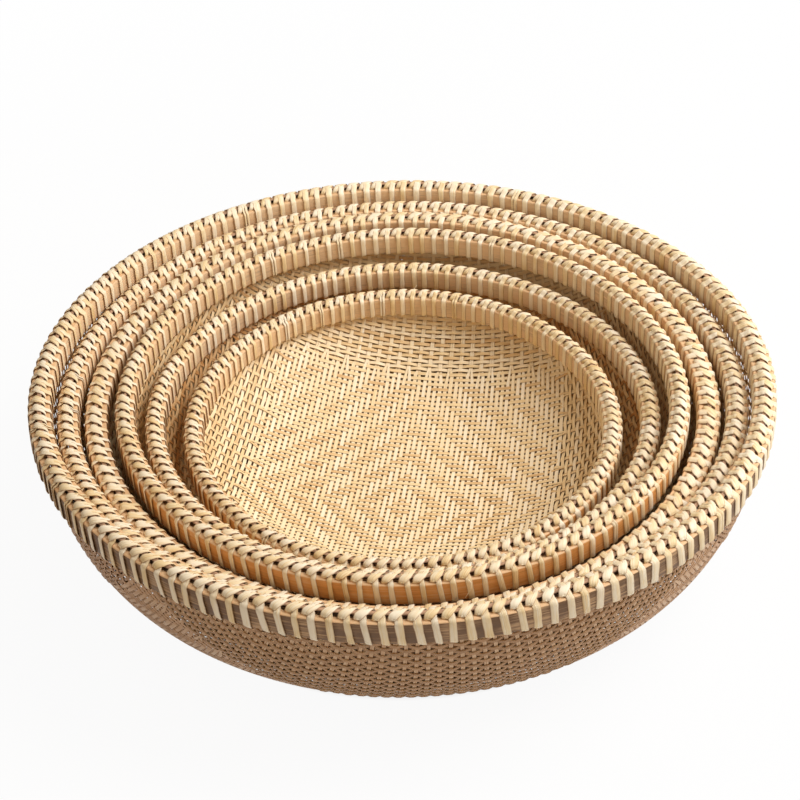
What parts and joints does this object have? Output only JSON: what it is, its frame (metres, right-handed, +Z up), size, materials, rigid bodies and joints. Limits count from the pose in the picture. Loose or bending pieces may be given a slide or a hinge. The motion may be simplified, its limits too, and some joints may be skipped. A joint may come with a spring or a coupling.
{
  "type": "nest of woven bamboo baskets",
  "caption": "Nest of round shallow bamboo zaru baskets: twill-woven bowls held between lashed hoops, each one lifting out of the next larger.",
  "frame": {"origin": "centre of the largest basket's underside, where the nest stands", "axes": "+Z up through the open tops, -Y towards the side that the picture shows in front"},
  "size_m": [0.45, 0.45, 0.112],
  "materials": {
    "mat": "satin split bamboo strips, woven",
    "weathered_hoop": "smooth bamboo skin, greyed tan",
    "tan_hoop": "smooth bamboo skin, warm brown",
    "pale_hoop": "split bamboo, pale inner side",
    "core": "rough bamboo strip",
    "lashing": "peeled cane strip, satin"
  },
  "bodies": {
    "basket_1": {"woven_bowl_1": "mat", "outer_hoop_1": "weathered_hoop", "inner_hoop_1": "pale_hoop", "rim_core_1": "core", "rim_lashing_1": "lashing"},
    "basket_2": {"woven_bowl_2": "mat", "outer_hoop_2": "tan_hoop", "inner_hoop_2": "pale_hoop", "rim_core_2": "core", "rim_lashing_2": "lashing"},
    "basket_3": {"woven_bowl_3": "mat", "outer_hoop_3": "tan_hoop", "inner_hoop_3": "pale_hoop", "rim_core_3": "core", "rim_lashing_3": "lashing"},
    "basket_4": {"woven_bowl_4": "mat", "outer_hoop_4": "tan_hoop", "inner_hoop_4": "pale_hoop", "rim_core_4": "core", "rim_lashing_4": "lashing"},
    "basket_5": {"woven_bowl_5": "mat", "outer_hoop_5": "tan_hoop", "inner_hoop_5": "pale_hoop", "rim_core_5": "core", "rim_lashing_5": "lashing"},
    "basket_6": {"woven_bowl_6": "mat", "outer_hoop_6": "tan_hoop", "inner_hoop_6": "pale_hoop", "rim_core_6": "core", "rim_lashing_6": "lashing"}
  },
  "joints": [
    {"name": "lift_2", "type": "slide", "parent": "basket_1", "child": "basket_2", "axis": [0, 0, 1], "range_m": [0, 0.12]},
    {"name": "lift_3", "type": "slide", "parent": "basket_2", "child": "basket_3", "axis": [0, 0, 1], "range_m": [0, 0.105]},
    {"name": "lift_4", "type": "slide", "parent": "basket_3", "child": "basket_4", "axis": [0, 0, 1], "range_m": [0, 0.095]},
    {"name": "lift_5", "type": "slide", "parent": "basket_4", "child": "basket_5", "axis": [0, 0, 1], "range_m": [0, 0.095]},
    {"name": "lift_6", "type": "slide", "parent": "basket_5", "child": "basket_6", "axis": [0, 0, 1], "range_m": [0, 0.08]}
  ]
}
